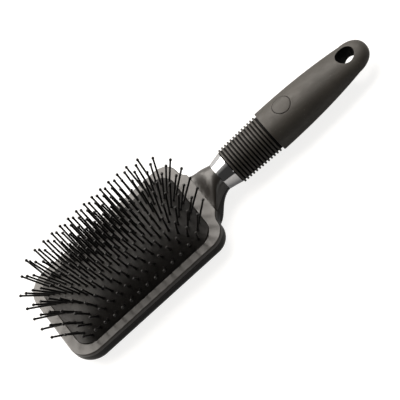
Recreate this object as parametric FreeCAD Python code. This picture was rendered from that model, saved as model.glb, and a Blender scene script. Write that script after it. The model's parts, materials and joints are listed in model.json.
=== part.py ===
"""Paddle hair brush: two-shell paddle, crowned air cushion, ball-tip pins, ferrule and soft grip.

Millimetres. The brush lies on its back with the pins up: +Z is the way the pins point, +X runs
from the paddle to the end of the handle, and the origin is on the flat back, under the middle of
the cushion.
"""
import FreeCAD, Part
import math
import os

Vector = FreeCAD.Vector
UP = Vector(0, 0, 1)
ALONG = Vector(1, 0, 0)

# paddle
PADDLE_HALF_LENGTH = 58.25     # from the middle of the cushion to the far edge
PADDLE_HALF_WIDTH = 37.5
PADDLE_THICKNESS = 13.2
TIP_CORNER_RADIUS = 15.0
SHOULDER_RADIUS = 11.5         # outer corner of the shoulder
SHOULDER_HOLLOW_RADIUS = 11.0  # hollow curve from shoulder to neck
SHOULDER_SETBACK = 0.75        # where the two shoulder curves meet, short of the half length
BACK_EDGE_RADIUS = 8.5
FACE_EDGE_RADIUS = 0.8
FRAME_THICKNESS = 2.6          # depth of the seam between the shells below the face
SHELL_WALL = 2.4

# neck
NECK_LENGTH = 17.5             # from the shoulder curves to the ferrule
NECK_RADIUS = 9.3
HANDLE_AXIS_Z = 11.8

# cushion
RIM_WIDTH_END = 6.5            # flat rim beyond the cushion's ends
RIM_WIDTH_SIDE = 6.2           # flat rim beside the cushion
CUSHION_CORNER_RADIUS = 11.0
CUSHION_CROWN = 12.5           # height of the crown above the face
CUSHION_WALL = 1.6
FLANGE_REACH = 2.2             # how far the flange runs under the frame
FLANGE_THICKNESS = 1.4
LEDGE_WIDTH = 3.4              # ledge of the back shell under the flange
WINDOW_CLEARANCE = 0.25
CROWN_POWER_ALONG = 5.0
CROWN_POWER_ACROSS = 2.6
VENT_RADIUS = 0.5

# pins
PIN_ROWS = 13
PINS_IN_MIDDLE_ROW = 16
PIN_FIELD_MARGIN_END = 3.0     # from the last pin to the cushion's end
PIN_FIELD_MARGIN_SIDE = 3.7    # from the last row to the cushion's side
PIN_LENGTH = 18.5              # from the rubber to the middle of the ball
PIN_RADIUS = 0.66
PIN_TIP_RADIUS = 0.6
BALL_RADIUS = 1.0
PIN_HEAD_RADIUS = 1.2
PIN_HEAD_THICKNESS = 0.6
PIN_HEAD_GAP = 0.7             # between the rubber and the head under it
PIN_HOLE_CLEARANCE = 0.06
PIN_LEAN_GAIN = 1.1            # how much more a pin leans than the rubber slopes

# handle
FERRULE_LENGTH = 9.0
FERRULE_END_RADIUS = 11.3
RIB_PITCH = 2.3
RIB_COUNT = 13
RIB_WIDTH = 1.15
RIB_DEPTH = 1.2
RIB_START_HALF_WIDTH = 13.1
RIB_START_HALF_HEIGHT = 11.2
RIB_END_HALF_WIDTH = 14.3
RIB_END_HALF_HEIGHT = 11.4
GRIP_LENGTH = 77.0
GRIP_HALF_WIDTH = 15.2
GRIP_HALF_HEIGHT = 11.7
GRIP_HOLE_HALF_WIDTH = 11.8    # section at the hang hole
GRIP_HOLE_HALF_HEIGHT = 6.3
HANG_HOLE_FROM_END = 13.5
HANG_HOLE_RADIUS = 6.15
CORE_RADIUS = 5.0
CORE_SOCKET_DEPTH = 6.0        # how far the core runs into the neck
CORE_BEHIND_GRIP = 52.0        # how far the core runs into the smooth grip
FIT = 0.05                     # glued and pushed fits, on the radius
DISC_RADIUS = 5.9
DISC_THICKNESS = 1.5
DISC_FROM_GRIP_START = 16.0
DISC_PROUD = 0.15
DISC_GROOVE = 0.25
SCREW_RADIUS = 1.5
SCREW_HEAD_RADIUS = 2.9
SCREW_HEAD_THICKNESS = 1.8
SCREW_DEPTH = 13.0

SHOULDER_X = PADDLE_HALF_LENGTH - SHOULDER_SETBACK
NECK_END_X = SHOULDER_X + NECK_LENGTH
CUSHION_HALF_LENGTH = PADDLE_HALF_LENGTH - RIM_WIDTH_END
CUSHION_HALF_WIDTH = PADDLE_HALF_WIDTH - RIM_WIDTH_SIDE
PIN_PITCH = 2 * (CUSHION_HALF_LENGTH - PIN_FIELD_MARGIN_END) / (PINS_IN_MIDDLE_ROW - 1)
PIN_ROW_PITCH = 2 * (CUSHION_HALF_WIDTH - PIN_FIELD_MARGIN_SIDE) / (PIN_ROWS - 1)
FRAME_UNDERSIDE = PADDLE_THICKNESS - FRAME_THICKNESS
FERRULE_END_X = NECK_END_X + FERRULE_LENGTH
RIB_LENGTH = RIB_PITCH * RIB_COUNT + (RIB_PITCH - RIB_WIDTH)
GRIP_START_X = FERRULE_END_X + RIB_LENGTH
GRIP_END_X = GRIP_START_X + GRIP_LENGTH
HOLE_X = GRIP_END_X - HANG_HOLE_FROM_END
DISC_X = GRIP_START_X + DISC_FROM_GRIP_START
MIDDLE_ROW = (PIN_ROWS + 1) // 2


def arc(start, middle, end):
    """A circular edge through three points."""
    return Part.Arc(start, middle, end).toShape()


def line(start, end):
    """A straight edge."""
    return Part.LineSegment(start, end).toShape()


def corner_point(centre_x, centre_y, radius, degrees):
    """A point on a corner's circle."""
    angle = math.radians(degrees)
    return Vector(centre_x + radius * math.cos(angle), centre_y + radius * math.sin(angle), 0)


def rounded_rectangle(half_length, half_width, radius, z):
    """A closed flat wire with four equal round corners, centred on the origin."""
    x, y = half_length - radius, half_width - radius
    edges = []
    corners = ((x, y, 0), (-x, y, 90), (-x, -y, 180), (x, -y, 270))
    for index, (cx, cy, degrees) in enumerate(corners):
        start = corner_point(cx, cy, radius, degrees)
        edges.append(arc(start, corner_point(cx, cy, radius, degrees + 45),
                         corner_point(cx, cy, radius, degrees + 90)))
        next_x, next_y, next_degrees = corners[(index + 1) % 4]
        edges.append(line(corner_point(cx, cy, radius, degrees + 90),
                          corner_point(next_x, next_y, radius, next_degrees)))
    wire = Part.Wire(edges)
    wire.translate(Vector(0, 0, z))
    return wire


def rounded_block(half_length, half_width, radius, bottom, top):
    """A prism on a rounded rectangle."""
    face = Part.Face(rounded_rectangle(half_length, half_width, radius, bottom))
    return face.extrude(Vector(0, 0, top - bottom))


def oval_wire(x, half_width, half_height, centre_z=HANDLE_AXIS_Z, power=2.0):
    """A closed oval across the handle, squarer with a higher power, always started from one side."""
    points = 32
    ring = []
    for index in range(points):
        angle = 2 * math.pi * (index + 0.5) / points
        across, up = math.cos(angle), math.sin(angle)
        y = math.copysign(abs(across) ** (2 / power), across)
        z = math.copysign(abs(up) ** (2 / power), up)
        ring.append(Vector(x, half_width * y, centre_z + half_height * z))
    curve = Part.BSplineCurve()
    curve.interpolate(Points=ring, PeriodicFlag=True)
    return Part.Wire([curve.toShape()])


def oval_loft(sections):
    """A smooth solid through ovals, each given as oval_wire takes it."""
    return Part.makeLoft([oval_wire(*section) for section in sections], True, False)


def round_rod(x, length, radius, end_radius=None):
    """A round rod or cone along the handle's axis."""
    base = Vector(x, 0, HANDLE_AXIS_Z)
    if end_radius is None:
        return Part.makeCylinder(radius, length, base, ALONG)
    return Part.makeCone(radius, end_radius, length, base, ALONG)


def paddle_outline():
    """The face's outline: straight sides, round far corners and S-curved shoulders."""
    corner_x = TIP_CORNER_RADIUS - PADDLE_HALF_LENGTH
    corner_y = PADDLE_HALF_WIDTH - TIP_CORNER_RADIUS
    bend_x = SHOULDER_X - SHOULDER_RADIUS
    bend_y = PADDLE_HALF_WIDTH - SHOULDER_RADIUS
    hollow_x = SHOULDER_X + SHOULDER_HOLLOW_RADIUS
    side = [
        (corner_point(corner_x, corner_y, TIP_CORNER_RADIUS, 180),
         corner_point(corner_x, corner_y, TIP_CORNER_RADIUS, 135),
         corner_point(corner_x, corner_y, TIP_CORNER_RADIUS, 90)),
        (corner_point(bend_x, bend_y, SHOULDER_RADIUS, 90),
         corner_point(bend_x, bend_y, SHOULDER_RADIUS, 45),
         corner_point(bend_x, bend_y, SHOULDER_RADIUS, 0)),
        (corner_point(hollow_x, bend_y, SHOULDER_HOLLOW_RADIUS, 180),
         corner_point(hollow_x, bend_y, SHOULDER_HOLLOW_RADIUS, 202),
         corner_point(hollow_x, bend_y, SHOULDER_HOLLOW_RADIUS, 225)),
    ]

    def mirrored(point):
        return Vector(point.x, -point.y, point.z)

    edges = [arc(*side[0]), line(side[0][2], side[1][0]), arc(*side[1]), arc(*side[2])]
    other = [[mirrored(point) for point in reversed(points)] for points in reversed(side)]
    edges.append(line(side[2][2], other[0][0]))
    edges += [arc(*other[0]), arc(*other[1]), line(other[1][2], other[2][0]), arc(*other[2])]
    edges.append(line(other[2][2], side[0][0]))
    return Part.Wire(edges)


def paddle_block():
    """The paddle as one solid, both shells together, without its neck."""
    block = Part.Face(paddle_outline()).extrude(Vector(0, 0, PADDLE_THICKNESS))
    neck_cut_x = block.BoundBox.XMax

    def rim_edges(z):
        return [edge for edge in block.Edges
                if all(abs(vertex.Z - z) < 1e-6 for vertex in edge.Vertexes)
                and abs(edge.CenterOfMass.x - neck_cut_x) > 1e-3]

    block = block.makeFillet(BACK_EDGE_RADIUS, rim_edges(0.0))
    return block.makeFillet(FACE_EDGE_RADIUS, rim_edges(PADDLE_THICKNESS))


def neck_block():
    """The neck: flat-topped where it leaves the paddle, round where it meets the ferrule."""
    middle = PADDLE_THICKNESS / 2
    root_x = SHOULDER_X + SHOULDER_HOLLOW_RADIUS * (1 - math.cos(math.radians(45)))
    root_half_width = PADDLE_HALF_WIDTH - SHOULDER_RADIUS - SHOULDER_HOLLOW_RADIUS * math.sin(math.radians(45))
    rise = HANDLE_AXIS_Z - middle
    swell = NECK_RADIUS - middle
    sections = [(SHOULDER_X - 7.0, root_half_width, middle - 0.5, middle, 4.5)]
    for along, narrowing, rising, power in ((0.0, 0.02, 0.02, 4.0), (0.25, 0.36, 0.36, 3.2),
                                            (0.5, 0.66, 0.78, 2.6), (0.75, 0.86, 1.0, 2.15), (1.0, 1.0, 1.0, 2.0)):
        sections.append((root_x + along * (NECK_END_X - root_x),
                         root_half_width + narrowing * (NECK_RADIUS - root_half_width),
                         middle - 0.1 + rising * (swell + 0.1), middle + rising * rise, power))
    return oval_loft(sections)


def head_body():
    """Paddle and neck together, before they are split at the seam."""
    return paddle_block().fuse(neck_block()).removeSplitter()


def core_socket():
    """The bore in the neck that takes the end of the core."""
    length = CORE_SOCKET_DEPTH
    return round_rod(NECK_END_X - length, length, CORE_RADIUS + FIT)


def above_seam():
    """Everything above the seam plane."""
    return Part.makeBox(400, 200, 60, Vector(-100, -100, FRAME_UNDERSIDE))


def make_face_frame(body):
    """Front shell: the glossy rim round the cushion and the upper part of the neck."""
    window = rounded_block(CUSHION_HALF_LENGTH + WINDOW_CLEARANCE, CUSHION_HALF_WIDTH + WINDOW_CLEARANCE,
                           CUSHION_CORNER_RADIUS + WINDOW_CLEARANCE, FRAME_UNDERSIDE - 1, PADDLE_THICKNESS + 1)
    return body.common(above_seam()).cut(window).cut(core_socket())


def make_back_shell(body):
    """Back shell: rounded back, air chamber with a ledge for the flange, lower part of the neck."""
    pocket = rounded_block(CUSHION_HALF_LENGTH + FLANGE_REACH + WINDOW_CLEARANCE,
                           CUSHION_HALF_WIDTH + FLANGE_REACH + WINDOW_CLEARANCE,
                           CUSHION_CORNER_RADIUS + FLANGE_REACH, FRAME_UNDERSIDE - FLANGE_THICKNESS,
                           FRAME_UNDERSIDE + 1)
    inset = LEDGE_WIDTH - FLANGE_REACH
    chamber = rounded_block(CUSHION_HALF_LENGTH - inset, CUSHION_HALF_WIDTH - inset,
                            CUSHION_CORNER_RADIUS - inset, SHELL_WALL, FRAME_UNDERSIDE + 1)
    vent = Part.makeCylinder(VENT_RADIUS, SHELL_WALL + 2, Vector(0, 0, -1), UP)
    return body.cut(above_seam()).cut(pocket).cut(chamber).cut(core_socket()).cut(vent)


def crown_height(x, y):
    """Height of the rubber above the face at x, y."""
    along = 1 - min(1.0, abs(x) / CUSHION_HALF_LENGTH) ** CROWN_POWER_ALONG
    across = 1 - min(1.0, abs(y) / CUSHION_HALF_WIDTH) ** CROWN_POWER_ACROSS
    return CUSHION_CROWN * along * across


def crown_slope(x, y):
    """How fast the rubber falls away along x and along y."""
    reach_x, reach_y = abs(x) / CUSHION_HALF_LENGTH, abs(y) / CUSHION_HALF_WIDTH
    fall_x = CROWN_POWER_ALONG * reach_x ** (CROWN_POWER_ALONG - 1) / CUSHION_HALF_LENGTH
    fall_y = CROWN_POWER_ACROSS * reach_y ** (CROWN_POWER_ACROSS - 1) / CUSHION_HALF_WIDTH
    along = CUSHION_CROWN * fall_x * (1 - reach_y ** CROWN_POWER_ACROSS)
    across = CUSHION_CROWN * fall_y * (1 - reach_x ** CROWN_POWER_ALONG)
    return math.copysign(along, x), math.copysign(across, y)


def crown_face():
    """The rubber's outer surface over the whole cushion."""
    columns, rows = 33, 23
    grid = []
    for column in range(columns):
        x = -CUSHION_HALF_LENGTH * math.cos(math.pi * column / (columns - 1))
        grid.append([])
        for row in range(rows):
            y = -CUSHION_HALF_WIDTH * math.cos(math.pi * row / (rows - 1))
            grid[-1].append(Vector(x, y, PADDLE_THICKNESS + crown_height(x, y)))
    surface = Part.BSplineSurface()
    surface.interpolate(grid)
    return surface.toShape()


def pin_places():
    """Rows of pins: row number to the (root, direction) of each of its pins."""
    places = {}
    for row in range(1, PIN_ROWS + 1):
        y = (MIDDLE_ROW - row) * PIN_ROW_PITCH
        staggered = (MIDDLE_ROW - row) % 2
        count = PINS_IN_MIDDLE_ROW - staggered
        if row in (1, PIN_ROWS):
            count -= 2
        places[row] = []
        for index in range(count):
            x = (index - (count - 1) / 2) * PIN_PITCH
            root = Vector(x, y, PADDLE_THICKNESS + crown_height(x, y))
            slope_x, slope_y = crown_slope(x, y)
            direction = Vector(PIN_LEAN_GAIN * slope_x, PIN_LEAN_GAIN * slope_y, 1).normalize()
            places[row].append((root, direction))
    return places


def make_cushion(places):
    """The rubber: crowned membrane on a flat flange, with a hole for every pin."""
    membrane = crown_face().extrude(Vector(0, 0, -CUSHION_WALL))
    outline = rounded_block(CUSHION_HALF_LENGTH, CUSHION_HALF_WIDTH, CUSHION_CORNER_RADIUS,
                            0, PADDLE_THICKNESS + CUSHION_CROWN + 5)
    membrane = membrane.common(outline)
    skirt = rounded_block(CUSHION_HALF_LENGTH, CUSHION_HALF_WIDTH, CUSHION_CORNER_RADIUS,
                          FRAME_UNDERSIDE - FLANGE_THICKNESS, PADDLE_THICKNESS)
    skirt = skirt.cut(rounded_block(CUSHION_HALF_LENGTH - CUSHION_WALL, CUSHION_HALF_WIDTH - CUSHION_WALL,
                                    CUSHION_CORNER_RADIUS - CUSHION_WALL, 0, PADDLE_THICKNESS + 1))
    flange = rounded_block(CUSHION_HALF_LENGTH + FLANGE_REACH, CUSHION_HALF_WIDTH + FLANGE_REACH,
                           CUSHION_CORNER_RADIUS + FLANGE_REACH, FRAME_UNDERSIDE - FLANGE_THICKNESS,
                           FRAME_UNDERSIDE)
    flange = flange.cut(rounded_block(CUSHION_HALF_LENGTH - CUSHION_WALL, CUSHION_HALF_WIDTH - CUSHION_WALL,
                                      CUSHION_CORNER_RADIUS - CUSHION_WALL, 0, PADDLE_THICKNESS + 1))
    rubber = membrane.fuse([skirt, flange])
    reach = 3 * CUSHION_WALL
    holes = []
    for row in places.values():
        for root, direction in row:
            holes.append(Part.makeCylinder(PIN_RADIUS + PIN_HOLE_CLEARANCE, 2 * reach,
                                           root - direction * reach, direction))
    return rubber.cut(holes)


def pin_solid():
    """One pin standing on its root, pointing up: head, shaft and ball in one piece."""
    head_top = -(CUSHION_WALL + PIN_HEAD_GAP)
    head_bottom = head_top - PIN_HEAD_THICKNESS
    neck_z = PIN_LENGTH - math.sqrt(BALL_RADIUS ** 2 - PIN_TIP_RADIUS ** 2)
    edges = [
        line(Vector(0, 0, head_bottom), Vector(PIN_HEAD_RADIUS, 0, head_bottom)),
        line(Vector(PIN_HEAD_RADIUS, 0, head_bottom), Vector(PIN_HEAD_RADIUS, 0, head_top)),
        line(Vector(PIN_HEAD_RADIUS, 0, head_top), Vector(PIN_RADIUS, 0, head_top)),
        line(Vector(PIN_RADIUS, 0, head_top), Vector(PIN_RADIUS, 0, CUSHION_WALL)),
        line(Vector(PIN_RADIUS, 0, CUSHION_WALL), Vector(PIN_TIP_RADIUS, 0, neck_z)),
        arc(Vector(PIN_TIP_RADIUS, 0, neck_z), Vector(BALL_RADIUS, 0, PIN_LENGTH),
            Vector(0, 0, PIN_LENGTH + BALL_RADIUS)),
        line(Vector(0, 0, PIN_LENGTH + BALL_RADIUS), Vector(0, 0, head_bottom)),
    ]
    return Part.Face(Part.Wire(edges)).revolve(Vector(0, 0, 0), UP, 360)


def make_pin_row(pin, row):
    """All pins of one lengthwise row, each a solid of its own."""
    pins = []
    for root, direction in row:
        placed = pin.copy()
        placed.Placement = FreeCAD.Placement(root, FreeCAD.Rotation(UP, direction))
        pins.append(placed)
    return Part.makeCompound(pins)


def make_handle_core():
    """Hard round rod that joins the neck, the ferrule and the grip."""
    start = NECK_END_X - CORE_SOCKET_DEPTH
    length = GRIP_START_X + CORE_BEHIND_GRIP - start
    rod = round_rod(start, length, CORE_RADIUS)
    return rod.cut(screw_shaft(SCREW_RADIUS))


def make_ferrule():
    """Chromed cone ring between the neck and the ribbed sleeve."""
    cone = round_rod(NECK_END_X, FERRULE_LENGTH, NECK_RADIUS, FERRULE_END_RADIUS)
    return cone.cut(round_rod(NECK_END_X, FERRULE_LENGTH, CORE_RADIUS + FIT))


def sleeve_oval(x, depth=0.0):
    """The ribbed sleeve's section at x, let in by depth."""
    share = (x - FERRULE_END_X) / RIB_LENGTH
    half_width = RIB_START_HALF_WIDTH + share * (RIB_END_HALF_WIDTH - RIB_START_HALF_WIDTH)
    half_height = RIB_START_HALF_HEIGHT + share * (RIB_END_HALF_HEIGHT - RIB_START_HALF_HEIGHT)
    return x, half_width - depth, half_height - depth


def make_ribbed_sleeve():
    """Soft sleeve with evenly spaced ribs round it."""
    ends = (FERRULE_END_X, GRIP_START_X)
    valley = oval_loft([sleeve_oval(x, RIB_DEPTH) for x in ends])
    crest = oval_loft([sleeve_oval(x) for x in ends])
    ribs = []
    for index in range(RIB_COUNT):
        x = FERRULE_END_X + index * RIB_PITCH + (RIB_PITCH - RIB_WIDTH) / 2
        slice_box = Part.makeBox(RIB_WIDTH, 60, 60, Vector(x, -30, HANDLE_AXIS_Z - 30))
        ribs.append(crest.common(slice_box))
    sleeve = valley.fuse(ribs)
    return sleeve.cut(round_rod(FERRULE_END_X, RIB_LENGTH, CORE_RADIUS + FIT))


def grip_body():
    """The smooth grip from its step at the ribs to the middle of the hang hole."""
    sections = []
    to_hole = HOLE_X - GRIP_START_X
    for share in (0.0, 0.15, 0.35, 0.55, 0.75, 0.9, 1.0):
        taper = share ** 2.6
        sections.append((GRIP_START_X + share * to_hole,
                         GRIP_HALF_WIDTH + taper * (GRIP_HOLE_HALF_WIDTH - GRIP_HALF_WIDTH),
                         GRIP_HALF_HEIGHT + taper ** 0.8 * (GRIP_HOLE_HALF_HEIGHT - GRIP_HALF_HEIGHT)))
    return oval_loft(sections)


def grip_end():
    """The round end of the smooth grip."""
    sections = []
    for degrees in (0, 22, 42, 60, 74, 84, 88.5):
        angle = math.radians(degrees)
        sections.append((HOLE_X + HANG_HOLE_FROM_END * math.sin(angle),
                         GRIP_HOLE_HALF_WIDTH * math.cos(angle) ** 0.9,
                         GRIP_HOLE_HALF_HEIGHT * math.cos(angle) ** 0.8))
    return oval_loft(sections)


def disc_seat_z():
    """Height of the grip's top where the disc lies."""
    return HANDLE_AXIS_Z + GRIP_HALF_HEIGHT


def screw_shaft(radius):
    """The screw's thread as a plain rod hanging from under its head."""
    top = disc_seat_z() - DISC_THICKNESS - SCREW_HEAD_THICKNESS
    return Part.makeCylinder(radius, SCREW_DEPTH, Vector(DISC_X, 0, top - SCREW_DEPTH), UP)


def make_smooth_grip():
    """Soft-touch grip with the hang hole, the recess for the disc and the screw hole."""
    body = grip_body().fuse(grip_end())
    bore = round_rod(GRIP_START_X, CORE_BEHIND_GRIP + FIT, CORE_RADIUS + FIT)
    hang_hole = Part.makeCylinder(HANG_HOLE_RADIUS, 60, Vector(HOLE_X, 0, HANDLE_AXIS_Z - 30), UP)
    seat = Part.makeCylinder(DISC_RADIUS + DISC_GROOVE, 20, Vector(DISC_X, 0, disc_seat_z() - DISC_THICKNESS), UP)
    head_room = Part.makeCylinder(SCREW_HEAD_RADIUS + FIT, 20,
                                  Vector(DISC_X, 0, disc_seat_z() - DISC_THICKNESS - SCREW_HEAD_THICKNESS), UP)
    return body.cut([bore, hang_hole, seat, head_room, screw_shaft(SCREW_RADIUS)])


def make_thumb_disc():
    """Round inlay that covers the screw and follows the grip's surface."""
    bottom = disc_seat_z() - DISC_THICKNESS
    disc = Part.makeCylinder(DISC_RADIUS, 2 * DISC_THICKNESS, Vector(DISC_X, 0, bottom), UP)
    raised_grip = grip_body()
    raised_grip.translate(Vector(0, 0, DISC_PROUD))
    return disc.common(raised_grip)


def make_grip_screw():
    """Screw that holds the smooth grip on the core."""
    bottom = disc_seat_z() - DISC_THICKNESS - SCREW_HEAD_THICKNESS
    head = Part.makeCylinder(SCREW_HEAD_RADIUS, SCREW_HEAD_THICKNESS, Vector(DISC_X, 0, bottom), UP)
    return head.fuse(screw_shaft(SCREW_RADIUS)).removeSplitter()


def save(name, shape):
    """Write one node to its STEP file."""
    shape.exportStep("parts/" + name + ".step")
    solids = len(shape.Solids)
    print(name, "solids", solids, "volume", round(shape.Volume, 1), "valid", shape.isValid())


def main():
    """Build every node and write it out."""
    os.makedirs("parts", exist_ok=True)
    body = head_body()
    places = pin_places()
    save("back_shell", make_back_shell(body))
    save("face_frame", make_face_frame(body))
    save("cushion", make_cushion(places))
    pin = pin_solid()
    for number, row in places.items():
        save("pin_row_%02d" % number, make_pin_row(pin, row))
    save("handle_core", make_handle_core())
    save("ferrule", make_ferrule())
    save("ribbed_sleeve", make_ribbed_sleeve())
    save("smooth_grip", make_smooth_grip())
    save("thumb_disc", make_thumb_disc())
    save("grip_screw", make_grip_screw())


main()
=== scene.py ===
"""Paddle hair brush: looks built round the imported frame.

The brush lies on its back with the pins up. +X runs to the end of the handle, +Z is the way the
pins point, and every length here is in metres unless its name says otherwise.
"""

import json
import logging
import math
import random
from dataclasses import dataclass, field
from enum import Enum
from typing import Callable, Sequence

import bpy
from mathutils import Matrix, Vector

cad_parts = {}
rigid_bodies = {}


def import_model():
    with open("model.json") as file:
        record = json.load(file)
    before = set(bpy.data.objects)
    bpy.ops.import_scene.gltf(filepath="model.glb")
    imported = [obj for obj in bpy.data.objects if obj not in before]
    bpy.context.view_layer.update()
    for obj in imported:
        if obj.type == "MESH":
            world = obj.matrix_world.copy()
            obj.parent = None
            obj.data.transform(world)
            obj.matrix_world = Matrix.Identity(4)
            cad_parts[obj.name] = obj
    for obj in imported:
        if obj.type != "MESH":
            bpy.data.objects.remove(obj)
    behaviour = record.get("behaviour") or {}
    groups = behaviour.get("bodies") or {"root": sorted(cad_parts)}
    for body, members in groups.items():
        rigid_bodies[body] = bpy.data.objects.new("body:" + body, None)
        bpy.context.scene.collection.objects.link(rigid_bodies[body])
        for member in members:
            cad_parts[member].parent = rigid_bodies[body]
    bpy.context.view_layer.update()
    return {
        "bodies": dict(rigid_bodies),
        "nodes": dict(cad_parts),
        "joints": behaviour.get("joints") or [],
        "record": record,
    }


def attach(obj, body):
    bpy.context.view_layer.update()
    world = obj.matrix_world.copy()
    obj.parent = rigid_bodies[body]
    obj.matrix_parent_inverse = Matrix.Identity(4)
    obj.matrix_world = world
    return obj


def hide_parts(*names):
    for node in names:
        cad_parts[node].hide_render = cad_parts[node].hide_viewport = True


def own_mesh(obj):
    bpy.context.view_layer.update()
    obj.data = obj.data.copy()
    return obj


LOG = logging.getLogger("paddle_brush")
MM = 0.001
HANDLE_AXIS_Z = 11.8 * MM
BRUSH_BODY = "brush"

Ring = tuple[float, float, float]
Colour = tuple[float, float, float]


class Axis(Enum):
    """The way a primitive ring faces, as the turn that brings it there."""

    ALONG_HANDLE = (0.0, math.pi / 2, 0.0)
    UP = (0.0, 0.0, 0.0)


class Surface(Enum):
    """The finishes that a piece of the brush can have."""

    FACE = "glossy moulding of the front shell"
    BACK = "glossy moulding of the back shell"
    RUBBER = "rubber of the cushion"
    NYLON = "nylon of the pins"
    CHROME = "chrome of the ferrule"
    SOFT = "soft-touch skin of the grip"
    # Near-black finish that paints shade into the rib gaps, the hang hole's bore and the disc's groove.
    GAP = "dark bottom of gaps and bores"
    CORE = "hard rod inside the handle"
    STEEL = "steel of the hidden screw"


# ---------------------------------------------------------------- mesh helpers


def deselect_everything() -> None:
    """Leave nothing selected and nothing active."""
    bpy.ops.object.select_all(action="DESELECT")
    bpy.context.view_layer.objects.active = None


def make_active(piece: bpy.types.Object) -> None:
    """Select one object alone and make it active.

    Args:
        piece: The object.
    """
    deselect_everything()
    piece.select_set(True)
    bpy.context.view_layer.objects.active = piece


def finish_place(piece: bpy.types.Object) -> None:
    """Put the object's place, turn and scale into its mesh."""
    make_active(piece)
    bpy.ops.object.transform_apply(location=True, rotation=True, scale=True)


def smooth_by_angle(piece: bpy.types.Object, degrees: float) -> None:
    """Shade smooth, with edges sharper than the angle kept crisp."""
    make_active(piece)
    bpy.ops.object.shade_smooth_by_angle(angle=math.radians(degrees))


def apply_modifier(piece: bpy.types.Object, name: str) -> None:
    """Apply one modifier of the piece."""
    make_active(piece)
    bpy.ops.object.modifier_apply(modifier=name)


def add_ring(name: str, sides: int, centre: Vector, axis: Axis,
             half_sizes: tuple[float, float]) -> bpy.types.Object:
    """Add an open ring of edges and leave it in edit mode, selected.

    Args:
        name: The new object's name.
        sides: Number of vertices in the ring.
        centre: Middle of the ring.
        axis: The way the ring faces.
        half_sizes: Half of its size across and half of its height.

    Returns:
        The new object, at the origin, in edit mode.
    """
    deselect_everything()
    bpy.ops.mesh.primitive_circle_add(vertices=sides, radius=1.0, location=centre, rotation=axis.value)
    ring = bpy.context.object
    ring.name = name
    ring.data.name = name
    across, high = half_sizes
    scale = (1.0, across, high) if axis is Axis.ALONG_HANDLE else (across, high, 1.0)
    finish_place(ring)
    bpy.ops.object.mode_set(mode="EDIT")
    bpy.ops.mesh.select_all(action="SELECT")
    bpy.ops.transform.resize(value=scale, center_override=centre)
    return ring


def extrude_ring(move: Vector, scale: tuple[float, float, float], centre: Vector) -> None:
    """Extrude the selected ring, then scale the new ring.

    Args:
        move: How far and which way the new ring goes.
        scale: Size of the new ring against the old one.
        centre: Middle of the new ring.
    """
    bpy.ops.mesh.extrude_region_move(TRANSFORM_OT_translate={"value": move})
    bpy.ops.transform.resize(value=scale, center_override=centre)


def close_ring() -> None:
    """Fill the selected ring with one face."""
    bpy.ops.mesh.edge_face_add()


def sweep_along_handle(name: str, sides: int, rings: Sequence[Ring], centre_z: float = HANDLE_AXIS_Z,
                       closed: bool = True) -> bpy.types.Object:
    """Extrude an oval along the handle through a list of sections.

    Args:
        name: The new object's name.
        sides: Number of vertices round the oval.
        rings: Sections as (x, half width, half height).
        centre_z: Height of the handle's axis.
        closed: Whether the first ring is filled with a face; if not, both ends are left open.

    Returns:
        The new object, in object mode, faces pointing outwards.
    """
    x, wide, high = rings[0]
    piece = add_ring(name, sides, Vector((x, 0.0, centre_z)), Axis.ALONG_HANDLE, (wide, high))
    if closed:
        close_ring()
    for next_x, next_wide, next_high in rings[1:]:
        extrude_ring(Vector((next_x - x, 0.0, 0.0)), (1.0, next_wide / wide, next_high / high),
                     Vector((next_x, 0.0, centre_z)))
        x, wide, high = next_x, next_wide, next_high
    bpy.ops.mesh.select_all(action="SELECT")
    bpy.ops.mesh.normals_make_consistent(inside=False)
    bpy.ops.object.mode_set(mode="OBJECT")
    return piece


def close_tube(piece: bpy.types.Object) -> None:
    """Bridge the two open rims of a tube along its bore.

    Args:
        piece: A tube whose first and last rings lie at the bore's two ends.
    """
    make_active(piece)
    bpy.ops.object.mode_set(mode="EDIT")
    bpy.ops.mesh.select_all(action="SELECT")
    bpy.ops.mesh.select_non_manifold(extend=False)
    bpy.ops.mesh.bridge_edge_loops()
    bpy.ops.mesh.select_all(action="SELECT")
    bpy.ops.mesh.normals_make_consistent(inside=False)
    bpy.ops.object.mode_set(mode="OBJECT")


def shape_with(piece: bpy.types.Object, tool: bpy.types.Object, operation: str) -> None:
    """Cut a piece with another closed shape, and throw that shape away.

    Args:
        piece: The object to change.
        tool: The shape to cut with.
        operation: DIFFERENCE takes the tool's shape out, INTERSECT keeps what lies inside it.
    """
    modifier = piece.modifiers.new("cut", "BOOLEAN")
    modifier.object = tool
    modifier.operation = operation
    modifier.solver = "EXACT"
    apply_modifier(piece, modifier.name)
    bpy.data.objects.remove(tool)


def upright_cylinder(name: str, radius: float, bottom: float, top: float, x: float,
                     sides: int) -> bpy.types.Object:
    """Add an upright cylinder on the handle's middle line.

    Args:
        name: The new object's name.
        radius: Its radius.
        bottom: Height of its lower end.
        top: Height of its upper end.
        x: Where it stands along the handle.
        sides: Number of faces round it.

    Returns:
        The new object, at the origin.
    """
    deselect_everything()
    bpy.ops.mesh.primitive_cylinder_add(vertices=sides, radius=radius, depth=top - bottom,
                                        location=(x, 0.0, (top + bottom) / 2))
    cylinder = bpy.context.object
    cylinder.name = name
    finish_place(cylinder)
    return cylinder


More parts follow.
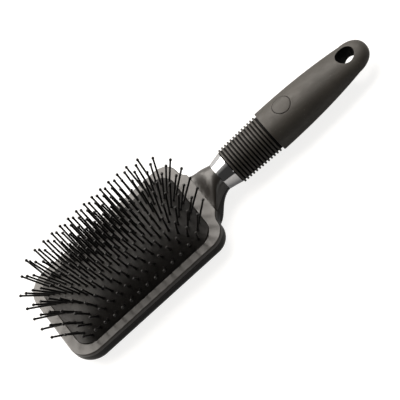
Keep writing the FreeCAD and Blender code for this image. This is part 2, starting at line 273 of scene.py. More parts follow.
def bevel_edges(piece: bpy.types.Object, width: float, segments: int,
                wanted: Callable[[Vector, Vector], bool]) -> None:
    """Round the edges whose two ends pass a test.

    Args:
        piece: The object to change.
        width: Offset of the bevel.
        segments: Steps in the bevel.
        wanted: Takes the two ends of an edge and says whether to round it.
    """
    make_active(piece)
    bpy.ops.object.mode_set(mode="EDIT")
    bpy.ops.mesh.select_mode(type="EDGE")
    bpy.ops.mesh.select_all(action="DESELECT")
    bpy.ops.object.mode_set(mode="OBJECT")
    vertices = piece.data.vertices
    for edge in piece.data.edges:
        start, end = (vertices[corner].co for corner in edge.vertices)
        edge.select = wanted(start, end)
    bpy.ops.object.mode_set(mode="EDIT")
    bpy.ops.mesh.bevel(offset=width, segments=segments, profile=0.5, clamp_overlap=True)
    bpy.ops.object.mode_set(mode="OBJECT")


# ------------------------------------------------------------ shader utilities


def new_group(name: str, inputs: dict[str, float], outputs: dict[str, str]) -> tuple[
        bpy.types.NodeTree, bpy.types.Node, bpy.types.Node]:
    """Start a shader node group.

    Args:
        name: The group's name.
        inputs: Float inputs and their defaults.
        outputs: Output names and their socket types.

    Returns:
        The group, its input node and its output node.
    """
    group = bpy.data.node_groups.new(name, "ShaderNodeTree")
    for label, default in inputs.items():
        socket = group.interface.new_socket(name=label, in_out="INPUT", socket_type="NodeSocketFloat")
        socket.default_value = default
    group.interface.new_socket(name="Vector", in_out="INPUT", socket_type="NodeSocketVector")
    for label, kind in outputs.items():
        group.interface.new_socket(name=label, in_out="OUTPUT", socket_type=kind)
    return group, group.nodes.new("NodeGroupInput"), group.nodes.new("NodeGroupOutput")


def add_noise(tree: bpy.types.NodeTree, scale: float, detail: float,
              roughness: float = 0.5) -> bpy.types.Node:
    """Add a noise texture.

    Args:
        tree: The tree to add it to.
        scale: Features to the metre.
        detail: Number of finer layers.
        roughness: Strength of the finer layers.

    Returns:
        The new node.
    """
    noise = tree.nodes.new("ShaderNodeTexNoise")
    noise.inputs["Scale"].default_value = scale
    noise.inputs["Detail"].default_value = detail
    noise.inputs["Roughness"].default_value = roughness
    return noise


def add_range(tree: bpy.types.NodeTree, source: bpy.types.NodeSocket, low: float, high: float,
              to_low: float = 0.0, to_high: float = 1.0) -> bpy.types.Node:
    """Add a clamped map from one range of values to another.

    Args:
        tree: The tree to add it to.
        source: The value to map.
        low: Value that gives to_low.
        high: Value that gives to_high.
        to_low: Start of the new range.
        to_high: End of the new range.

    Returns:
        The new node, with its output Result.
    """
    node = tree.nodes.new("ShaderNodeMapRange")
    node.inputs["From Min"].default_value = low
    node.inputs["From Max"].default_value = high
    node.inputs["To Min"].default_value = to_low
    node.inputs["To Max"].default_value = to_high
    tree.links.new(source, node.inputs["Value"])
    return node


def multiply(tree: bpy.types.NodeTree, first: bpy.types.NodeSocket,
             second: bpy.types.NodeSocket | float) -> bpy.types.NodeSocket:
    """Multiply a value by another value or by a number.

    Args:
        tree: The tree to add the node to.
        first: The value.
        second: The other value, or a number.

    Returns:
        The socket of the product.
    """
    node = tree.nodes.new("ShaderNodeMath")
    node.operation = "MULTIPLY"
    tree.links.new(first, node.inputs[0])
    if isinstance(second, float):
        node.inputs[1].default_value = second
    else:
        tree.links.new(second, node.inputs[1])
    return node.outputs[0]


def build_surface_group() -> bpy.types.NodeTree:
    """Handling marks: cloudy tone, smudges for the roughness, fine grain and dust.

    Returns:
        A group with outputs Tone, Smudge, Grain and Dust, each from 0 to 1.
    """
    group, source, sink = new_group(
        "handling_marks",
        {"Cloud Scale": 60.0, "Smudge Scale": 140.0, "Grain Scale": 2500.0, "Dust Scale": 900.0},
        {"Tone": "NodeSocketFloat", "Smudge": "NodeSocketFloat", "Grain": "NodeSocketFloat",
         "Dust": "NodeSocketFloat"})
    links = group.links
    plan = (("Tone", "Cloud Scale", 3.0, 0.35, 0.65), ("Smudge", "Smudge Scale", 6.0, 0.42, 0.62),
            ("Grain", "Grain Scale", 2.0, 0.3, 0.7), ("Dust", "Dust Scale", 1.0, 0.70, 0.78))
    for output, scale_input, detail, low, high in plan:
        noise = add_noise(group, 1.0, detail, 0.55)
        links.new(source.outputs["Vector"], noise.inputs["Vector"])
        links.new(source.outputs[scale_input], noise.inputs["Scale"])
        shaped = add_range(group, noise.outputs["Fac"], low, high)
        links.new(shaped.outputs["Result"], sink.inputs[output])
    return group


def build_edge_group() -> bpy.types.NodeTree:
    """Edge wear: a broken mask where the surface turns sharply outwards.

    Returns:
        A group with the output Wear, from 0 to 1.
    """
    group, source, sink = new_group("edge_wear", {"Break Scale": 400.0, "Strength": 1.0},
                                    {"Wear": "NodeSocketFloat"})
    links = group.links
    geometry = group.nodes.new("ShaderNodeNewGeometry")
    sharp = add_range(group, geometry.outputs["Pointiness"], 0.52, 0.60)
    noise = add_noise(group, 400.0, 4.0)
    links.new(source.outputs["Vector"], noise.inputs["Vector"])
    links.new(source.outputs["Break Scale"], noise.inputs["Scale"])
    broken = add_range(group, noise.outputs["Fac"], 0.4, 0.62)
    both = multiply(group, sharp.outputs["Result"], broken.outputs["Result"])
    links.new(multiply(group, both, source.outputs["Strength"]), sink.inputs["Wear"])
    return group


@dataclass(frozen=True)
class Finish:
    """One surface finish, from which a node material is made."""

    name: str
    dark: Colour
    light: Colour
    roughness: tuple[float, float]
    grain_scale: float = 2500.0
    grain_depth: float = 0.00002
    cloud_scale: float = 60.0
    smudge_scale: float = 140.0
    dust: float = 0.0
    dust_colour: Colour = (0.4, 0.38, 0.35)
    wear: float = 0.0
    wear_colour: Colour = (0.25, 0.24, 0.23)
    metallic: float = 0.0
    coat: float = 0.0
    coat_roughness: float = 0.05
    specular: float = 0.5
    sheen: float = 0.0

    def make(self, shared: dict[str, bpy.types.NodeTree]) -> bpy.types.Material:
        """Build the material.

        Args:
            shared: The effect groups by name.

        Returns:
            The finished material.
        """
        material = bpy.data.materials.new(self.name)
        material.use_nodes = True
        tree = material.node_tree
        shader = tree.nodes["Principled BSDF"]
        place = tree.nodes.new("ShaderNodeTexCoord")
        marks = tree.nodes.new("ShaderNodeGroup")
        marks.node_tree = shared["handling_marks"]
        marks.inputs["Cloud Scale"].default_value = self.cloud_scale
        marks.inputs["Smudge Scale"].default_value = self.smudge_scale
        marks.inputs["Grain Scale"].default_value = self.grain_scale
        tree.links.new(place.outputs["Object"], marks.inputs["Vector"])
        edges = tree.nodes.new("ShaderNodeGroup")
        edges.node_tree = shared["edge_wear"]
        edges.inputs["Strength"].default_value = self.wear
        tree.links.new(place.outputs["Object"], edges.inputs["Vector"])
        tone = self._mix(tree, marks.outputs["Tone"], self.dark, self.light)
        dusty = self._mix(tree, multiply(tree, marks.outputs["Dust"], self.dust), tone, self.dust_colour)
        worn = self._mix(tree, edges.outputs["Wear"], dusty, self.wear_colour)
        tree.links.new(worn, shader.inputs["Base Color"])
        rough = add_range(tree, marks.outputs["Smudge"], 0.0, 1.0, self.roughness[0], self.roughness[1])
        tree.links.new(rough.outputs["Result"], shader.inputs["Roughness"])
        bump = tree.nodes.new("ShaderNodeBump")
        bump.inputs["Distance"].default_value = self.grain_depth
        tree.links.new(marks.outputs["Grain"], bump.inputs["Height"])
        tree.links.new(bump.outputs["Normal"], shader.inputs["Normal"])
        shader.inputs["Metallic"].default_value = self.metallic
        shader.inputs["Coat Weight"].default_value = self.coat
        shader.inputs["Coat Roughness"].default_value = self.coat_roughness
        shader.inputs["Specular IOR Level"].default_value = self.specular
        shader.inputs["Sheen Weight"].default_value = self.sheen
        shader.inputs["Sheen Roughness"].default_value = 0.4
        return material

    @staticmethod
    def _mix(tree: bpy.types.NodeTree, share: bpy.types.NodeSocket, first: bpy.types.NodeSocket | Colour,
             second: Colour) -> bpy.types.NodeSocket:
        """Mix a colour into another.

        Args:
            tree: The tree to add the node to.
            share: How much of the second colour shows.
            first: The colour underneath, fixed or from a socket.
            second: The colour mixed into it.

        Returns:
            The socket of the mixed colour.
        """
        node = tree.nodes.new("ShaderNodeMix")
        node.data_type = "RGBA"
        tree.links.new(share, node.inputs["Factor"])
        underneath, on_top, mixed = node.inputs[6], node.inputs[7], node.outputs[2]
        if isinstance(first, tuple):
            underneath.default_value = (*first, 1.0)
        else:
            tree.links.new(first, underneath)
        on_top.default_value = (*second, 1.0)
        return mixed


FINISHES = {
    Surface.FACE: Finish("face_gloss", (0.014, 0.0115, 0.009), (0.020, 0.017, 0.014), (0.30, 0.38),
                    grain_scale=1400.0, grain_depth=0.0000012, wear=0.05, specular=0.55, coat=0.3,
                    coat_roughness=0.28),
    Surface.BACK: Finish("back_gloss", (0.006, 0.0055, 0.005), (0.010, 0.009, 0.008), (0.16, 0.24),
                    grain_scale=1400.0, grain_depth=0.0000012, wear=0.05, specular=0.25),
    Surface.RUBBER: Finish("cushion_rubber", (0.006, 0.0052, 0.0045), (0.011, 0.0098, 0.0085), (0.42, 0.54),
                     grain_scale=3500.0, grain_depth=0.00002, dust=0.07, specular=0.24),
    Surface.NYLON: Finish("pin_nylon", (0.004, 0.004, 0.004), (0.008, 0.0075, 0.007), (0.30, 0.45),
                    grain_scale=4000.0, grain_depth=0.000008, specular=0.3),
    Surface.CHROME: Finish("ferrule_chrome", (0.60, 0.60, 0.61), (0.72, 0.72, 0.73), (0.03, 0.09),
                     grain_scale=1800.0, grain_depth=0.000002, metallic=1.0),
    Surface.SOFT: Finish("soft_touch", (0.023, 0.020, 0.0155), (0.031, 0.027, 0.0215), (0.48, 0.58),
                   grain_scale=5200.0, grain_depth=0.00002, dust=0.06, wear=0.2,
                   wear_colour=(0.08, 0.074, 0.066), specular=0.45, sheen=0.05),
    # Painted shade: a near-black colour for the rib gaps and bores, where shade falls.
    Surface.GAP: Finish("painted_shade_dark", (0.002, 0.002, 0.002), (0.004, 0.0035, 0.003), (0.6, 0.75),
                  grain_scale=5200.0, specular=0.1),
    Surface.CORE: Finish("core_plastic", (0.02, 0.02, 0.02), (0.03, 0.03, 0.03), (0.45, 0.6)),
    Surface.STEEL: Finish("screw_steel", (0.45, 0.45, 0.46), (0.58, 0.58, 0.58), (0.2, 0.35),
                    grain_depth=0.000005, metallic=1.0),
}


@dataclass
class Workshop:
    """What every sub-assembly needs: the frame and the finished materials."""

    frame: dict
    materials: dict[Surface, bpy.types.Material] = field(default_factory=dict)

    def stock_materials(self) -> None:
        """Make the shared groups and one material for each finish."""
        shared = {"handling_marks": build_surface_group(), "edge_wear": build_edge_group()}
        for surface, finish in FINISHES.items():
            self.materials[surface] = finish.make(shared)

    def dress(self, piece: bpy.types.Object, surface: Surface) -> None:
        """Give a piece one finish all over."""
        piece.data.materials.clear()
        piece.data.materials.append(self.materials[surface])

    def dress_faces(self, piece: bpy.types.Object, surface: Surface, wanted: Callable[[Vector], bool]) -> None:
        """Give some faces of a dressed piece a second finish.

        Args:
            piece: The object, which already has its first finish.
            surface: The second finish.
            wanted: Takes the middle of a face and says whether it gets the second finish.
        """
        piece.data.materials.append(self.materials[surface])
        for face in piece.data.polygons:
            if wanted(face.center):
                face.material_index = len(piece.data.materials) - 1

    def dress_node(self, node: str, surface: Surface) -> None:
        """Give a carried-over node one finish, in its own slots.

        Args:
            node: The node's name.
            surface: Its finish.
        """
        for slot in self.frame["nodes"][node].material_slots:
            slot.material = self.materials[surface]
        LOG.info("node %s finished with %s", node, surface.value)

    def seat(self, piece: bpy.types.Object, body: str, node: str, slot: str, surface: Surface) -> None:
        """Dress a finished piece and fix it to its body in place of its node.

        Args:
            piece: The finished object.
            body: The body that it rides on.
            node: The node that it stands for.
            slot: The material slot of that node; not used.
            surface: Its finish.
        """
        self.dress(piece, surface)
        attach(piece, body)
        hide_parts(node)
        LOG.info("piece %s stands for %s, %d faces", piece.name, node, len(piece.data.polygons))


# --------------------------------------------------------------- sub-assemblies


@dataclass
class CushionPad:
    """Crowned rubber cushion held by its edge under the rim."""

    half_length: float = 51.75 * MM
    half_width: float = 31.3 * MM
    corner: float = 11.0 * MM
    face_z: float = 13.2 * MM
    crown: float = 12.5 * MM
    power_along: float = 5.0
    power_across: float = 2.6
    hem_depth: float = 2.4 * MM
    hem_turn: float = 0.5 * MM
    wall: float = 1.4 * MM
    cells: tuple[int, int] = (104, 64)
    press_keep: float = 0.82
    anchor_z: float = 9.2 * MM

    def height(self, x: float, y: float) -> float:
        """Work out the height of the rubber.

        Args:
            x: Distance along the brush from the cushion's middle.
            y: Distance across it.

        Returns:
            Height above the flat back of the paddle.
        """
        along = 1.0 - min(1.0, abs(x) / self.half_length) ** self.power_along
        across = 1.0 - min(1.0, abs(y) / self.half_width) ** self.power_across
        return self.face_z + self.crown * along * across

    def slope(self, x: float, y: float) -> tuple[float, float]:
        """Work out how fast the rubber falls away.

        Args:
            x: Distance along the brush from the cushion's middle.
            y: Distance across it.

        Returns:
            The fall along x and the fall along y.
        """
        step = 0.05 * MM
        along = (self.height(x - step, y) - self.height(x + step, y)) / (2 * step)
        across = (self.height(x, y - step) - self.height(x, y + step)) / (2 * step)
        return along, across

    def _inside_corner(self, x: float, y: float) -> tuple[float, float]:
        """Pull a point of the plain rectangle inside the rounded corners.

        Args:
            x: Distance along the brush from the cushion's middle.
            y: Distance across it.

        Returns:
            The moved point.
        """
        corner_x, corner_y = self.half_length - self.corner, self.half_width - self.corner
        over_x, over_y = abs(x) - corner_x, abs(y) - corner_y
        if over_x <= 0 or over_y <= 0:
            return x, y
        share = max(over_x, over_y) / math.hypot(over_x, over_y)
        return (math.copysign(corner_x + over_x * share, x), math.copysign(corner_y + over_y * share, y))

    def build(self, workshop: Workshop) -> bpy.types.Object:
        """Model the rubber from a grid, crown it, and turn its hem down into the frame.

        Args:
            workshop: The frame and materials.

        Returns:
            The finished cushion.
        """
        deselect_everything()
        bpy.ops.mesh.primitive_grid_add(x_subdivisions=self.cells[0], y_subdivisions=self.cells[1], size=2.0)
        pad = bpy.context.object
        pad.name = "cushion_rubber"
        pad.scale = (self.half_length, self.half_width, 1.0)
        finish_place(pad)
        for vertex in pad.data.vertices:
            x, y = self._inside_corner(vertex.co.x, vertex.co.y)
            vertex.co = (x, y, self.height(x, y))
        bpy.ops.object.mode_set(mode="EDIT")
        bpy.ops.mesh.select_all(action="SELECT")
        bpy.ops.mesh.region_to_loop()
        for depth in (self.hem_turn, self.hem_depth - self.hem_turn):
            bpy.ops.mesh.extrude_region_move(TRANSFORM_OT_translate={"value": (0.0, 0.0, -depth)})
        bpy.ops.object.mode_set(mode="OBJECT")
        wall = pad.modifiers.new("wall", "SOLIDIFY")
        wall.thickness = self.wall
        wall.offset = -1.0
        apply_modifier(pad, wall.name)
        smooth_by_angle(pad, 50.0)
        workshop.seat(pad, BRUSH_BODY, "cushion", "cushion_rubber", Surface.RUBBER)
        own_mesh(pad)
        return pad


@dataclass
class PinField:
    """Thirteen lengthwise rows of ball-tip pins that follow the crown."""

    cushion: CushionPad
    rows: int = 13
    row_pitch: float = 4.6 * MM
    pitch: float = 6.5 * MM
    middle_count: int = 16
    length: float = 18.5 * MM
    radius: float = 0.66 * MM
    tip_radius: float = 0.6 * MM
    ball: float = 1.0 * MM
    lean_gain: float = 1.1
    sides: int = 8
    root_depth: float = 1.2 * MM
    collar_radius: float = 1.0 * MM
    collar_heights: tuple[float, float] = (0.12 * MM, 0.45 * MM)
    bow: float = 0.55 * MM
    wander_degrees: float = 1.3
    seed: int = 11

    def _one_pin(self) -> bpy.types.Object:
        """Model one pin standing on the origin: collar, shaft and ball tip.

        Returns:
            The pattern that every pin is copied from.
        """
        low, high = self.collar_heights
        profile = [(-self.root_depth, self.radius), (low, self.collar_radius), (high, self.radius * 1.04),
                   (self.length - self.ball * 0.82, self.tip_radius),
                   (self.length - self.ball * 0.35, self.ball * 0.93),
                   (self.length + self.ball * 0.35, self.ball * 0.93),
                   (self.length + self.ball * 0.86, self.ball * 0.5)]
        z, radius = profile[0]
        pin = add_ring("pin_pattern", self.sides, Vector((0.0, 0.0, z)), Axis.UP, (radius, radius))
        close_ring()
        for next_z, next_radius in profile[1:]:
            scale = next_radius / radius
            extrude_ring(Vector((0.0, 0.0, next_z - z)), (scale, scale, 1.0), Vector((0.0, 0.0, next_z)))
            z, radius = next_z, next_radius
        bpy.ops.mesh.select_all(action="SELECT")
        bpy.ops.mesh.normals_make_consistent(inside=False)
        bpy.ops.object.mode_set(mode="OBJECT")
        smooth_by_angle(pin, 60.0)
        return pin

    def _places(self, row: int) -> list[tuple[Vector, Vector]]:
        """Work out where one row's pins stand and which way they point.

        Args:
            row: Number of the row, from 1.

        Returns:
            The root and the direction of each pin.
        """
        middle = (self.rows + 1) // 2
        y = (middle - row) * self.row_pitch
        outermost = row in (1, self.rows)
        count = self.middle_count - (middle - row) % 2 - (2 if outermost else 0)
        places = []
        for index in range(count):
            x = (index - (count - 1) / 2) * self.pitch
            along, across = self.cushion.slope(x, y)
            direction = Vector((self.lean_gain * along, self.lean_gain * across, 1.0)).normalized()
            places.append((Vector((x, y, self.cushion.height(x, y))), direction))
        return places

    def _plant(self, pattern: bpy.types.Object, root: Vector, direction: Vector,
               chance: random.Random) -> bpy.types.Object:
        """Copy the pattern to its root, leaning and slightly bowed.

        Args:
            pattern: The pin to copy.
            root: Where it leaves the rubber.
            direction: The way it points.
            chance: Source of its small random lean.

        Returns:
            The new pin.
        """
        pin = pattern.copy()
        pin.data = pattern.data.copy()
        bpy.context.scene.collection.objects.link(pin)
        outward = Vector((direction.x, direction.y, 0.0))
        lean = outward.length
        outward = outward.normalized() if lean > 1e-6 else Vector((1.0, 0.0, 0.0))
        turn = Vector((0.0, 0.0, 1.0)).rotation_difference(direction).to_matrix()
        sway = math.radians(self.wander_degrees)
        axis = Vector((chance.gauss(0.0, 1.0), chance.gauss(0.0, 1.0), 0.0))
        wander = Matrix.Rotation(chance.uniform(-sway, sway), 3, axis.normalized())
        side = turn.transposed() @ outward
        side = Vector((side.x, side.y, 0.0)).normalized() * self.bow * min(1.0, lean * 1.6)
        for vertex in pin.data.vertices:
            share = max(0.0, vertex.co.z / self.length)
            bent = vertex.co + side * (share * share - share * 0.6)
            vertex.co = root + wander @ (turn @ bent)
        return pin

    def build(self, workshop: Workshop) -> list[bpy.types.Object]:
        """Plant every row and fix it to its body.

        Args:
            workshop: The frame and materials.

        Returns:
            One object for each row.
        """
        chance = random.Random(self.seed)
        pattern = self._one_pin()
        rows = []
        for row in range(1, self.rows + 1):
            pins = [self._plant(pattern, root, direction, chance) for root, direction in self._places(row)]
            deselect_everything()
            for pin in pins:
                pin.select_set(True)
            bpy.context.view_layer.objects.active = pins[0]
            bpy.ops.object.join()
            joined = bpy.context.object
            joined.name = "pins_row_%02d" % row
            workshop.seat(joined, "pins_%02d" % row, "pin_row_%02d" % row, "pin_nylon", Surface.NYLON)
            rows.append(joined)
        bpy.data.objects.remove(pattern)
        return rows


@dataclass
class Handle:
    """Ferrule, ribbed sleeve and smooth grip with its disc and hang hole."""

    ferrule_start: float = 75.0 * MM
    ferrule_length: float = 9.0 * MM
    ferrule_radii: tuple[float, float] = (9.3 * MM, 11.3 * MM)
    ferrule_bore: float = 8.2 * MM
    ferrule_lip: float = 0.35 * MM
    rib_pitch: float = 2.3 * MM
    rib_count: int = 13
    rib_width: float = 1.15 * MM
    rib_depth: float = 1.2 * MM
    rib_round: float = 0.28 * MM
    sleeve_wall: float = 3.5 * MM
    rib_start: tuple[float, float] = (13.1 * MM, 11.2 * MM)
    rib_end: tuple[float, float] = (14.3 * MM, 11.4 * MM)
    grip_length: float = 77.0 * MM
    grip_step: float = 2.5 * MM
    grip_edge: float = 0.45 * MM
    grip_taper: float = 2.6
    smooth_angle: float = 40.0
    around: int = 96
    grip_half: tuple[float, float] = (15.2 * MM, 11.7 * MM)
    hole_half: tuple[float, float] = (11.8 * MM, 6.3 * MM)
    hole_from_end: float = 13.5 * MM
    hole_radius: float = 6.15 * MM
    disc_from_start: float = 16.0 * MM
    disc_radius: float = 5.85 * MM
    disc_depth: float = 1.5 * MM
    disc_proud: float = 0.15 * MM
    disc_groove: float = 0.38 * MM
    cut_sides: int = 72
    cut_reach: float = 30.0 * MM
    seat_reach: float = 10.0 * MM
    near: float = 0.02 * MM
    rib_x: float = field(init=False)
    rib_length: float = field(init=False)
    grip_x: float = field(init=False)
    grip_end_x: float = field(init=False)
    hole_x: float = field(init=False)
    disc_x: float = field(init=False)

    def __post_init__(self) -> None:
        """Work out where each section starts."""
        self.rib_x = self.ferrule_start + self.ferrule_length
        self.rib_length = self.rib_pitch * self.rib_count + (self.rib_pitch - self.rib_width)
        self.grip_x = self.rib_x + self.rib_length
        self.grip_end_x = self.grip_x + self.grip_length
        self.hole_x = self.grip_end_x - self.hole_from_end
        self.disc_x = self.grip_x + self.disc_from_start

    def build_ferrule(self, workshop: Workshop) -> bpy.types.Object:
        """Model the chromed cone with its rolled rims.

        Args:
            workshop: The frame and materials.

        Returns:
            The finished ferrule.
        """
        start, length = self.ferrule_start, self.ferrule_length
        small, large = self.ferrule_radii
        lip, inner = self.ferrule_lip, self.ferrule_bore
        outline = [(0.0, inner), (0.0, small - lip), (0.12 * MM, small - 0.1 * MM), (lip, small + 0.04 * MM)]
        steps = 12
        for step in range(1, steps):
            share = step / steps
            outline.append((length * share, small + (large - small) * (0.86 * share + 0.14 * share ** 2)))
        outline += [(length - lip, large - 0.05 * MM), (length - 0.1 * MM, large - 0.12 * MM),
                    (length, large - 0.4 * MM), (length, inner)]
        rings = [(start + x, radius, radius) for x, radius in outline]
        ferrule = sweep_along_handle("ferrule_cone", self.around, rings, closed=False)
        close_tube(ferrule)
        smooth_by_angle(ferrule, self.smooth_angle)
        workshop.seat(ferrule, BRUSH_BODY, "ferrule", "ferrule_chrome", Surface.CHROME)
        return ferrule

    def _rib_section(self, x: float, depth: float) -> Ring:
        """Work out one section of the sleeve.

        Args:
            x: Where the section lies along the handle.
            depth: How far it lies below the crests of the ribs.

        Returns:
            The section.
        """
        share = (x - self.rib_x) / self.rib_length
        wide = self.rib_start[0] + share * (self.rib_end[0] - self.rib_start[0])
        high = self.rib_start[1] + share * (self.rib_end[1] - self.rib_start[1])
        return x, wide - depth, high - depth

    def _rib_rings(self, start: float) -> list[Ring]:
        """Work out the sections of one rib, up its first flank and down its second.

        Args:
            start: Where the rib begins along the handle.

        Returns:
            The sections in order.
        """
        flare, draft, ease = 0.12 * MM, 0.04 * MM, 0.13 * MM
        crown = self.rib_round + 0.05 * MM
        flank = ((-flare, self.rib_depth), (0.0, self.rib_depth - 0.1 * MM), (draft, self.rib_round),
                 (ease, 0.08 * MM), (crown, 0.0))
        end = start + self.rib_width
        return ([self._rib_section(start + along, depth) for along, depth in flank]
                + [self._rib_section(end - along, depth) for along, depth in reversed(flank)])

    def build_sleeve(self, workshop: Workshop) -> bpy.types.Object:
        """Model the soft sleeve with its rounded ribs, with painted shade on the floors of the gaps.

        Args:
            workshop: The frame and materials.

        Returns:
            The finished sleeve.
        """
        depth, sliver = self.rib_depth, 0.001 * MM
        rings = [self._rib_section(self.rib_x, self.sleeve_wall), self._rib_section(self.rib_x + sliver, depth)]
        for number in range(self.rib_count):
            rings += self._rib_rings(self.rib_x + number * self.rib_pitch + (self.rib_pitch - self.rib_width) / 2)
        rings += [self._rib_section(self.grip_x - sliver, depth), self._rib_section(self.grip_x, self.sleeve_wall)]
        sleeve = sweep_along_handle("ribbed_sleeve_skin", self.around, rings, closed=False)
        close_tube(sleeve)
        smooth_by_angle(sleeve, 62.0)
        workshop.seat(sleeve, BRUSH_BODY, "ribbed_sleeve", "sleeve_soft", Surface.SOFT)

        def in_painted_shade_gap(middle: Vector) -> bool:
            """True well below the crests of the ribs, where the gap floors get painted shade."""
            _, wide, high = self._rib_section(middle.x, 0.6 * depth)
            return (middle.y / wide) ** 2 + ((middle.z - HANDLE_AXIS_Z) / high) ** 2 < 1.0

        # Painted shade: the gap floors between the ribs get the near-black finish.
        workshop.dress_faces(sleeve, Surface.GAP, in_painted_shade_gap)
        return sleeve

    def _grip_rings(self) -> list[Ring]:
        """Work out the sections of the smooth grip, from its step to its round end.

        Returns:
            The sections in order.
        """
        to_hole = self.hole_x - self.grip_x
        wide, high = self.grip_half
        hole_wide, hole_high = self.hole_half
        step, edge, round_over = self.grip_step, self.grip_edge, 0.13 * MM
        rings = [(self.grip_x, wide - step, high - step), (self.grip_x, wide - edge, high - edge),
                 (self.grip_x + 0.12 * MM, wide - round_over, high - round_over)]
        sections = 44
        first = edge / to_hole
        for section in range(sections):
            share = first + section / sections * (1 - first)
            taper = share ** self.grip_taper
            rings.append((self.grip_x + share * to_hole, wide + taper * (hole_wide - wide),
                          high + taper ** 0.8 * (hole_high - high)))
        turns = 26
        for turn in range(turns):
            angle = math.radians(88.5 * turn / (turns - 1))
            rings.append((self.hole_x + self.hole_from_end * math.sin(angle),
                          hole_wide * math.cos(angle) ** 0.9, hole_high * math.cos(angle) ** 0.8))
        return rings

    def build_grip(self, workshop: Workshop) -> bpy.types.Object:
        """Model the soft-touch grip with its hang hole and the seat for the disc, with painted shade in the bore
        and the seat.

        Args:
            workshop: The frame and materials.

        Returns:
            The finished grip.
        """
        grip = sweep_along_handle("smooth_grip_skin", self.around, self._grip_rings())
        hole_x, hole_radius = self.hole_x, self.hole_radius
        disc_x, seat_radius = self.disc_x, self.disc_radius + self.disc_groove
        top = HANDLE_AXIS_Z + self.grip_half[1]
        seat_z = top - self.disc_depth
        hole = upright_cylinder("hang_cut", hole_radius, HANDLE_AXIS_Z - self.cut_reach,
                                HANDLE_AXIS_Z + self.cut_reach, hole_x, self.cut_sides)
        shape_with(grip, hole, "DIFFERENCE")
        seat = upright_cylinder("seat_cut", seat_radius, seat_z, top + self.seat_reach, disc_x, self.cut_sides)
        shape_with(grip, seat, "DIFFERENCE")

        def on_rim(start: Vector, end: Vector) -> bool:
            """Pick the two rims of the hang hole and the upper rim of the disc's seat.

            Args:
                start: One end of the edge.
                end: Its other end.

            Returns:
                Whether the edge is on one of those rims.
            """
            for centre, radius in ((hole_x, hole_radius), (disc_x, seat_radius)):
                off = max(abs(math.hypot(p.x - centre, p.y) - radius) for p in (start, end))
                level = max(abs(p.z - seat_z) for p in (start, end))
                flat = abs(start.z - end.z) < 0.8 * (start - end).length
                if off < self.near and flat and not (centre == disc_x and level < 0.3 * MM):
                    return True
            return False

        bevel_edges(grip, 0.25 * MM, 3, on_rim)
        smooth_by_angle(grip, 35.0)
        workshop.seat(grip, BRUSH_BODY, "smooth_grip", "grip_soft", Surface.SOFT)

        def in_painted_shade_cut(middle: Vector) -> bool:
            """Pick the hang hole's wall and the inside of the disc's seat, which get painted shade.

            Args:
                middle: Middle of a face.

            Returns:
                Whether the face is there.
            """
            in_hole = math.hypot(middle.x - hole_x, middle.y) < hole_radius + self.near
            in_seat = math.hypot(middle.x - disc_x, middle.y) < seat_radius + self.near
            return in_hole or (in_seat and middle.z > seat_z - 0.1 * MM)

        # Painted shade: the hang hole's bore and the disc's groove get the near-black finish.
        workshop.dress_faces(grip, Surface.GAP, in_painted_shade_cut)
        return grip

    def build_disc(self, workshop: Workshop) -> bpy.types.Object:
        """Model the round inlay, whose top follows the grip.

        Args:
            workshop: The frame and materials.

        Returns:
            The finished disc.
        """
        bottom = HANDLE_AXIS_Z + self.grip_half[1] - self.disc_depth
        disc_x, radius = self.disc_x, self.disc_radius
        disc = upright_cylinder("thumb_disc_cap", radius, bottom, bottom + 3 * self.disc_depth, disc_x,
                                self.around)
        raised = sweep_along_handle("raised_grip", 2 * self.around, self._grip_rings(),
                                    centre_z=HANDLE_AXIS_Z + self.disc_proud)
        shape_with(disc, raised, "INTERSECT")

        def on_upper_rim(start: Vector, end: Vector) -> bool:
            """Pick the rim round the disc's top.

            Args:
                start: One end of the edge.
                end: Its other end.

            Returns:
                Whether the edge is on that rim.
            """
            off = max(abs(math.hypot(p.x - disc_x, p.y) - radius) for p in (start, end))
            low = min(start.z, end.z) < bottom + 0.1 * MM
            upright = abs(start.z - end.z) > 0.6 * (start - end).length
            return off < self.near and not low and not upright

        bevel_edges(disc, 0.15 * MM, 3, on_upper_rim)
        smooth_by_angle(disc, self.smooth_angle)
        workshop.seat(disc, BRUSH_BODY, "thumb_disc", "disc_plastic", Surface.SOFT)
        return disc

    def build(self, workshop: Workshop) -> None:
        """Make every piece of the handle.

        Args:
            workshop: The frame and materials.
        """
        self.build_ferrule(workshop)
        self.build_sleeve(workshop)
        self.build_grip(workshop)
        self.build_disc(workshop)


@dataclass(frozen=True)
class SoftLight:
    """A rectangular soft light."""

    name: str
    place: tuple[float, float, float]
    size: tuple[float, float]
    power: float
    colour: Colour

    def put_up(self, aim: Vector) -> None:
        """Add the light, turned towards a point.

        Args:
            aim: The point that it shines at.
        """
        data = bpy.data.lights.new(self.name, "AREA")
        data.shape = "RECTANGLE"
        data.size, data.size_y = self.size
        data.energy = self.power
        data.color = self.colour
        light = bpy.data.objects.new(self.name, data)
        bpy.context.scene.collection.objects.link(light)
        light.location = self.place
        light.rotation_mode = "QUATERNION"
        light.rotation_quaternion = (aim - light.location).to_track_quat("-Z", "Y")


WARM = (1.0, 0.945, 0.88)
SOFT_LIGHTS = (
    SoftLight("key_softbox", (-0.10, 0.98, 1.42), (2.6, 1.6), 64.0, WARM),
    SoftLight("left_softbox", (-1.15, 1.05, 0.62), (1.5, 0.9), 17.0, WARM),
    SoftLight("front_fill", (0.9, -1.6, 0.6), (0.5, 0.3), 1.5, (1.0, 0.99, 0.97)),
)


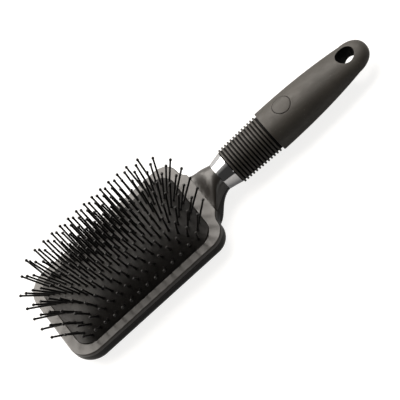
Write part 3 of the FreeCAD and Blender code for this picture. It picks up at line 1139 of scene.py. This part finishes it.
@dataclass
class Studio:
    """Pale floor, soft lights and the camera."""

    lit_centre: Vector = field(default_factory=lambda: Vector((0.06, 0.0, 0.01)))
    target: Vector = field(default_factory=lambda: Vector((66.75 * MM, 0.0, 13.2 * MM)))
    towards: Vector = field(default_factory=lambda: Vector((0.060, -0.655, 0.753)))
    distance: float = 2.4
    lens: float = 364.0
    handle_angle: float = 42.2
    aim_shift: tuple[float, float] = (4.9 * MM, 8.7 * MM)
    floor_size: float = 8.0
    floor_drop: float = 0.4 * MM
    floor_glow: tuple[float, float] = (0.14, 0.84)
    room_glow: tuple[float, float] = (0.05, 0.85)

    def build_camera(self) -> None:
        """Put up a long lens above the brush's side, rolled so that the handle runs up to the right."""
        back = self.towards.normalized()
        handle = Vector((1.0, 0.0, 0.0))
        handle = (handle - handle.dot(back) * back).normalized()
        across = back.cross(handle)
        angle = math.radians(self.handle_angle)
        right = math.cos(angle) * handle - math.sin(angle) * across
        up = math.sin(angle) * handle + math.cos(angle) * across
        data = bpy.data.cameras.new("camera")
        data.lens = self.lens
        camera = bpy.data.objects.new("camera", data)
        bpy.context.scene.collection.objects.link(camera)
        place = self.target + back * self.distance - right * self.aim_shift[0] - up * self.aim_shift[1]
        turn = Matrix((right, up, back)).transposed().to_4x4()
        camera.matrix_world = Matrix.Translation(place) @ turn
        bpy.context.scene.camera = camera

    def build_floor(self) -> None:
        """Lay the pale floor, which glows more towards the camera than on the brush."""
        deselect_everything()
        bpy.ops.mesh.primitive_plane_add(size=self.floor_size, location=(0.0, 0.0, -self.floor_drop))
        floor = bpy.context.object
        floor.name = "floor"
        finish_place(floor)
        material = bpy.data.materials.new("pale_floor")
        material.use_nodes = True
        tree = material.node_tree
        shader = tree.nodes["Principled BSDF"]
        noise = add_noise(tree, 6.0, 2.0)
        place = tree.nodes.new("ShaderNodeTexCoord")
        tree.links.new(place.outputs["Object"], noise.inputs["Vector"])
        tone = add_range(tree, noise.outputs["Fac"], 0.3, 0.7, 0.28, 0.31)
        tree.links.new(tone.outputs["Result"], shader.inputs["Base Color"])
        shader.inputs["Roughness"].default_value = 0.9
        shader.inputs["Specular IOR Level"].default_value = 0.1
        shader.inputs["Emission Color"].default_value = (1.0, 0.995, 0.985, 1.0)
        path = tree.nodes.new("ShaderNodeLightPath")
        glow = add_range(tree, path.outputs["Is Camera Ray"], 0.0, 1.0, *self.floor_glow)
        tree.links.new(glow.outputs["Result"], shader.inputs["Emission Strength"])
        floor.data.materials.append(material)

    def build_surroundings(self) -> None:
        """Make a room that is dark in front of the brush and bright behind it."""
        world = bpy.data.worlds.new("surroundings")
        world.use_nodes = True
        tree = world.node_tree
        background = tree.nodes["Background"]
        place = tree.nodes.new("ShaderNodeTexCoord")
        split = tree.nodes.new("ShaderNodeSeparateXYZ")
        tree.links.new(place.outputs["Generated"], split.inputs["Vector"])
        level = add_range(tree, split.outputs["Y"], -0.35, 0.55, *self.room_glow)
        tree.links.new(level.outputs["Result"], background.inputs["Strength"])
        background.inputs["Color"].default_value = (1.0, 0.98, 0.95, 1.0)
        bpy.context.scene.world = world

    def build(self) -> None:
        """Set up the floor, the lights, the surroundings and the camera."""
        self.build_floor()
        for light in SOFT_LIGHTS:
            light.put_up(self.lit_centre)
        self.build_surroundings()
        bpy.context.scene.view_settings.view_transform = "Standard"
        self.build_camera()


def main() -> None:
    """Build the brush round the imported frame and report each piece."""
    logging.basicConfig(level=logging.INFO, format="%(message)s")
    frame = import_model()
    workshop = Workshop(frame)
    workshop.stock_materials()
    cushion = CushionPad()
    cushion.build(workshop)
    PinField(cushion).build(workshop)
    Handle().build(workshop)
    for node, surface in (("back_shell", Surface.BACK), ("face_frame", Surface.FACE),
                          ("handle_core", Surface.CORE), ("grip_screw", Surface.STEEL)):
        workshop.dress_node(node, surface)
    Studio().build()


if __name__ == "__main__":
    main()
